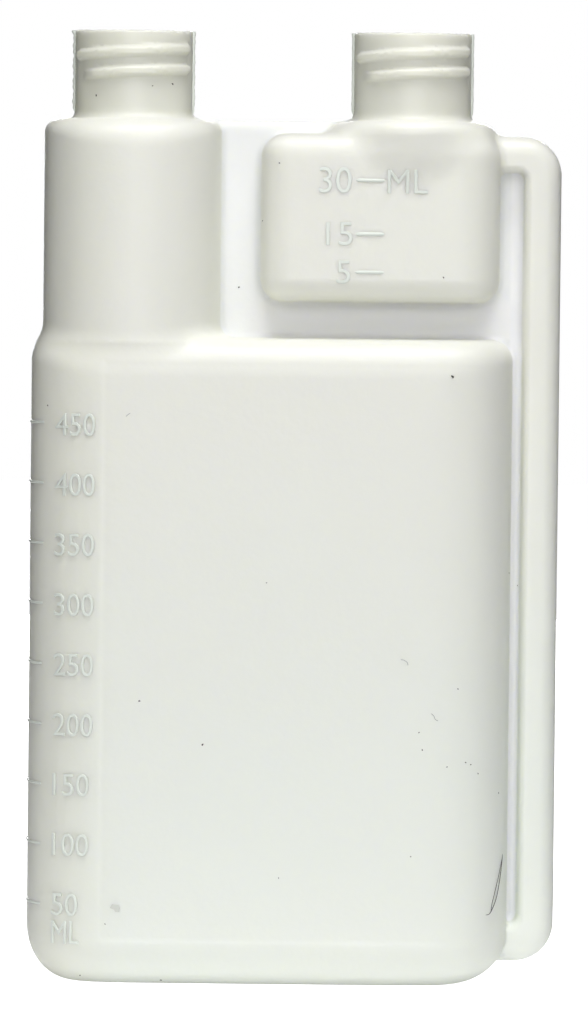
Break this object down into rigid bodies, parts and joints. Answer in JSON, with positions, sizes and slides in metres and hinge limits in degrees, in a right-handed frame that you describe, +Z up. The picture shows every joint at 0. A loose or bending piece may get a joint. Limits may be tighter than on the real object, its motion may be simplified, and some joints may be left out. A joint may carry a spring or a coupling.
{
  "type": "dosing bottle",
  "caption": "Hollow twin-neck bottle: a flat body with a filling tower, a graduated dosing chamber and a side tube that feeds it.",
  "frame": {"origin": "middle of the base, on the parting plane", "axes": "+Z up through the necks, +X towards the transfer tube, front with the chamber's graduations at -Y"},
  "size_m": [0.1135, 0.0432, 0.2033],
  "materials": {
    "natural_polyethylene": "milky, satin, slightly see-through"
  },
  "bodies": {
    "root": {"bottle": "natural_polyethylene"}
  },
  "joints": []
}
